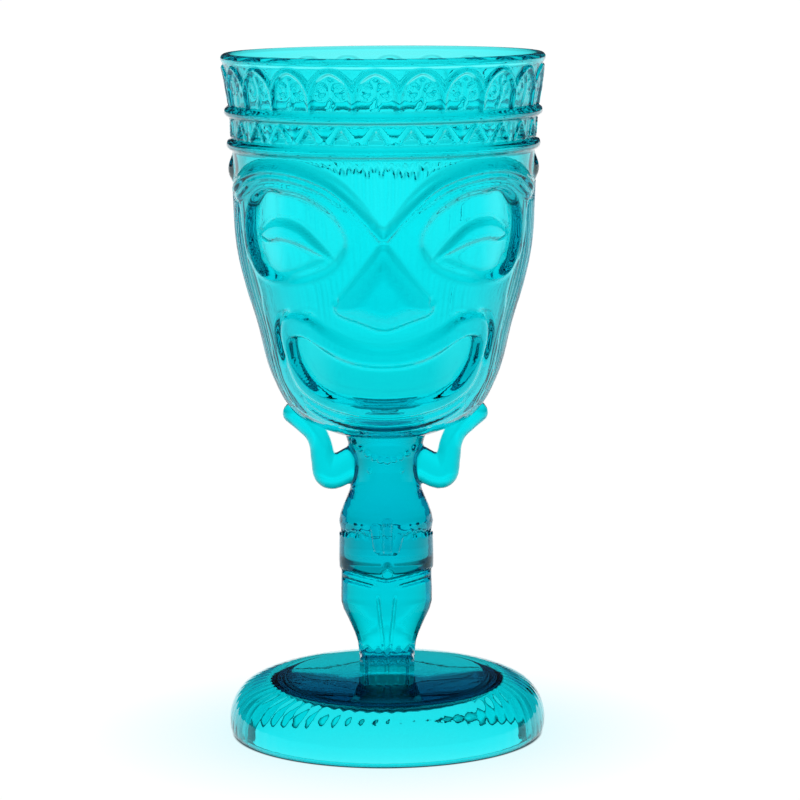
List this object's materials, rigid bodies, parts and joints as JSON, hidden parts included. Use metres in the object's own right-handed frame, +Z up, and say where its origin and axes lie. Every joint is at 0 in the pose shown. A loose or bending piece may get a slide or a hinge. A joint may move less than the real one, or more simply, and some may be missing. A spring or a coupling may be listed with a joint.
{
  "type": "tiki goblet",
  "caption": "Transparent footed drinking goblet: a carved-face cup held overhead by a small standing figure on a domed, fluted round foot.",
  "frame": {"origin": "on the goblet's axis, at the plane the foot stands on", "axes": "+Z up the goblet's axis to the rim; the face looks along -Y; +X points right when seen from the front, towards the figure's own left hand"},
  "size_m": [0.0836, 0.0836, 0.178],
  "materials": {
    "clear_turquoise": "clear, glossy, tinted through"
  },
  "bodies": {
    "root": {"bowl": "clear_turquoise", "stem_figure": "clear_turquoise", "foot": "clear_turquoise"}
  },
  "joints": []
}
